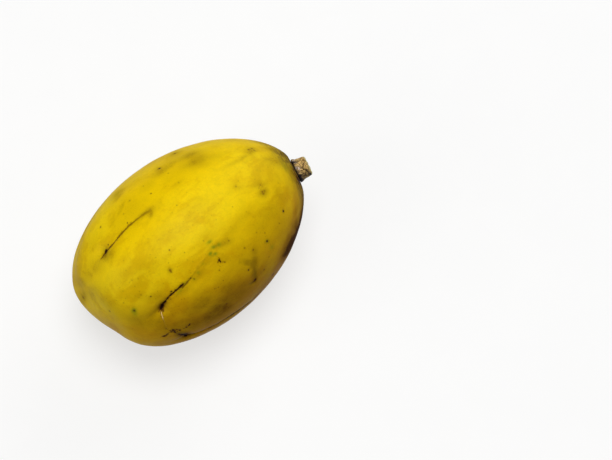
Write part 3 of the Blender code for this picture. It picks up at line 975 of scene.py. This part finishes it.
stemSet = {
    "cell": 0.12 * mm,
    "smoothing": 2,
    "lumps": ("CLOUDS", 1.2 * mm, 0.3 * mm),
    "scales": ("VORONOI", 0.9 * mm, 0.22 * mm),
    "ring": 2.8,  # mm, radius of the ring that the bark's pattern is laid on
    "cutFrom": 4.2,  # mm over the seat where the cut end begins
    "cutEdge": 0.2,
    "grain": (2.4, 0.38, 0.64, 4.0, 0.65),  # scale, low, high, detail and roughness of its patches
    "flecks": (3.0, 0.5, 0.6, 3.0, 0.6),
    "fine": (7.0,),
    "bark": (170, 130, 60),
    "barkLight": (240, 200, 122),
    "barkDark": (50, 24, 8),
    "cut": (216, 206, 138),
    "cork": (232, 216, 212),
    # colour of the painted shade at the stem's foot and of its dark spots
    "creviceShade": (22, 6, 16),
    "roughness": (0.55, 0.75),
    "specular": 0.3,
    "bumpStrength": 0.8,
    "bumpDistance": 0.25 * mm,
}

# Dark and pale places of the stem, given as the stains are: the dark ones are dark spots with painted shade
# in the crevice at the foot and on the stem's lower side
stemMarks = {
    "dark": [
        (292.2, 163.2, 0.26, 0.26, 0, 1.8), (301.4, 180.2, 0.5, 0.42, 0, 1.8),
        (302.4, 181.6, 0.5, 0.4, 0, 1.8), (299.4, 177.4, 0.5, 0.3, -60, 1.4),
        (294.4, 170, 1, 0.14, -64, 1.1), (304.6, 179.8, 1.1, 0.32, 32, 1.6), (311, 174, 0.45, 0.3, 40, 1.2),
        (307.8, 177.6, 1.1, 0.32, 32, 1.4), (296.8, 171.4, 0.3, 0.18, 30, 1),
        (302.6, 168.6, 0.7, 0.14, -20, 0.7), (306.6, 170.4, 0.5, 0.16, -50, 0.8),
        (300.4, 175, 0.8, 0.2, 10, 1), (308.6, 172.8, 0.7, 0.2, -50, 0.8), (303.6, 175.6, 0.7, 0.2, 40, 0.8),
        (304.4, 176.6, 1.6, 0.6, 32, 0.5),
    ],
    "pale": [
        (295, 162.8, 0.24, 0.14, 0, 0.6), (295.8, 168, 0.16, 0.3, 0, 1.1), (299, 168.4, 0.34, 0.2, -60, 0.9),
        (293.2, 160.6, 0.4, 0.16, 10, 0.5), (295.6, 172.2, 0.3, 0.16, 40, 0.7),
    ],
}


def makeStem():
    obj = copyOfNode("stem", "stemBark")
    evenMesh(obj, stemSet["cell"], stemSet["smoothing"])
    tree = BVHTree.FromObject(obj, bpy.context.evaluated_depsgraph_get())
    swell(obj, "lumps", *stemSet["lumps"])
    swell(obj, "scales", *stemSet["scales"])
    mesh = obj.data
    co = coordinates(mesh)
    height, beside, acrossRing, upRing = roundStem(co, stemSet["ring"])
    keepField(mesh, "stemPlace", np.stack([acrossRing, upRing, height], axis=1))
    keepField(mesh, "stemRadius", beside)
    for kind, marks in stemMarks.items():
        placed = [placedStain(tree, *mark) for mark in marks]
        keepField(mesh, kind + "OnStem", stainField(co, [p for p in placed if p]))
    pick(obj)
    bpy.ops.object.shade_smooth()
    say(f"stem has {len(mesh.polygons)} faces")
    return obj


def makeBark():
    material, tree, shader = nodeTree("roughBark")
    wire = Wiring(tree, stemSet)
    place = wire.vector("stemPlace")
    height = wire.split(place)["Z"]
    lengthwise = wire.stretched(place, (1.0, 1.0, 0.6))
    grain = wire.mottling(lengthwise, *stemSet["grain"])
    flecks = wire.mottling(place, *stemSet["flecks"])["Mask"]
    fine = wire.mottling(place, *stemSet["fine"])["Level"]

    # golden bark in raised scales with dark lines between
    wire.colour = wire.mix(grain["Mask"], linear(stemSet["bark"]), linear(stemSet["barkLight"]))
    furrows = wire.sum(fine, 0.2, wire.cells(lengthwise, 1.4, "DISTANCE_TO_EDGE"))
    furrows = wire.fall(furrows, 0.12, 0.28)
    wire.cover(wire.times(furrows, 0.8), "barkDark")
    wire.cover(wire.times(flecks, 0.8), "barkLight")

    # corky places near the foot, and painted shade in the hollow where it meets the skin, with dark spots
    foot = wire.fall(height, 1.4, 2.6)
    cork = wire.times(wire.times(foot, wire.band(fine, 0.54, 0.62)), 0.15)
    pale = wire.math("MULTIPLY", wire.field("paleOnStem"), wire.band(fine, 0.3, 0.6, 0.5, 1.2), clamp=True)
    wire.cover(wire.highest(cork, pale), "cork")
    creviceShade = wire.band(wire.sum(fine, 1.2, height), 0.7, 1.9, 0.9, 0.0)
    spotsAndShade = wire.math("MULTIPLY", wire.field("darkOnStem"), wire.band(fine, 0.2, 0.6, 0.7, 1.3), clamp=True)
    wire.cover(wire.highest(creviceShade, spotsAndShade), "creviceShade")

    # the cut end is pale, with a browner pith
    wood = wire.band(height, stemSet["cutFrom"], stemSet["cutFrom"] + stemSet["cutEdge"])
    wood = wire.times(wood, wire.band(fine, 0.3, 0.55, 0.5, 1.0))
    pith = wire.times(wire.band(wire.field("stemRadius"), 0.4, 1.1, 0.8, 0.0), wood)
    wire.cover(wood, "cut")
    wire.cover(pith, "bark")
    rough = wire.band(grain["Level"], 0.3, 0.7, *stemSet["roughness"])
    level = wire.sum(furrows, -0.9, wire.times(fine, 0.5))
    wire.feed(shader, stemSet, rough, level)
    return material


# Studio

studioSet = {
    "floorSize": 6,
    "floorColour": (150, 150, 149),
    "floorDrop": 0.05 * mm,
    "paper": (60, 0.3, 0.7, 2.0, 0.5),  # its faint patches, and how much darker they are
    "paperDim": 0.985,
    "floorGlow": (0.66, 0.66, 0.66, 1),  # a lit table, so that shadows on it stay light
    "tableGlow": (0.35, 0.35, 0.34, 1),  # what the table throws up at the fruit
    "tableShine": (0.65, 0.65, 0.65, 1),  # and what shows of it in the skin's gloss
    "lights": {
        "key": {"towards": (0.1, 0.0, 1.0), "distance": 1.2, "size": 0.8, "power": 10.8},
        "blossomFill": {"towards": (-0.85, 0.2, 0.45), "distance": 1.3, "size": 1.0, "power": 4.6},
        "stemFill": {"towards": (0.85, 0.25, 0.45), "distance": 1.3, "size": 1.0, "power": 5},
    },
    "skyDim": 0.13,
    "skySeen": 0.97,
}


def makeFloor():
    deselectAll()
    bpy.ops.mesh.primitive_plane_add(size=studioSet["floorSize"], location=(0, 0, -studioSet["floorDrop"]))
    floor = bpy.context.object
    floor.name = "floor"
    material, tree, shader = nodeTree("paleFloor")
    wire = Wiring(tree)
    place = wire.put("ShaderNodeTexCoord").outputs["Object"]
    paper = wire.mottling(place, *studioSet["paper"])["Mask"]
    tone = linear(studioSet["floorColour"])
    dimmer = tuple(part * studioSet["paperDim"] for part in tone[:3]) + (1,)
    path = wire.put("ShaderNodeLightPath").outputs
    paperTone = wire.mix(paper, tone, dimmer)
    glow = wire.mix(path["Is Glossy Ray"], studioSet["tableGlow"], studioSet["tableShine"])
    wire.give(shader, {
        "Base Color": wire.mix(path["Is Camera Ray"], (0, 0, 0, 1), paperTone),
        "Emission Color": wire.mix(path["Is Camera Ray"], glow, studioSet["floorGlow"]),
        "Emission Strength": 1.0,
        "Roughness": 0.9,
        "Specular IOR Level": 0.1,
    })
    floor.data.materials.append(material)


def makeLights():
    for name, values in studioSet["lights"].items():
        data = bpy.data.lights.new(name, "AREA")
        data.shape = "DISK"
        data.size = values["size"]
        data.energy = values["power"]
        light = newObject(name, data)
        towards = Vector(values["towards"]).normalized()
        light.location = cameraSet["middle"] + towards * values["distance"]
        light.rotation_euler = towards.to_track_quat("Z", "Y").to_euler()


def makeSky():
    world = bpy.data.worlds.new("studio")
    world.use_nodes = True
    bpy.context.scene.world = world
    wire = Wiring(world.node_tree)
    seen = wire.put("ShaderNodeLightPath").outputs["Is Camera Ray"]
    strength = wire.band(seen, 0, 1, studioSet["skyDim"], studioSet["skySeen"])
    wire.give(world.node_tree.nodes["Background"], {"Color": (1, 1, 1, 1), "Strength": strength})
    bpy.context.scene.view_settings.view_transform = "Standard"
    bpy.context.scene.view_settings.look = "None"


fruit = makeFruit()
fruit.data.materials.append(makeSkin())
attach(fruit, "root")
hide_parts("fruit")
say("fruit finished")

stem = makeStem()
stem.data.materials.append(makeBark())
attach(stem, "root")
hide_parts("stem")
say("stem finished")

makeFloor()
makeLights()
makeSky()
say("studio lit")
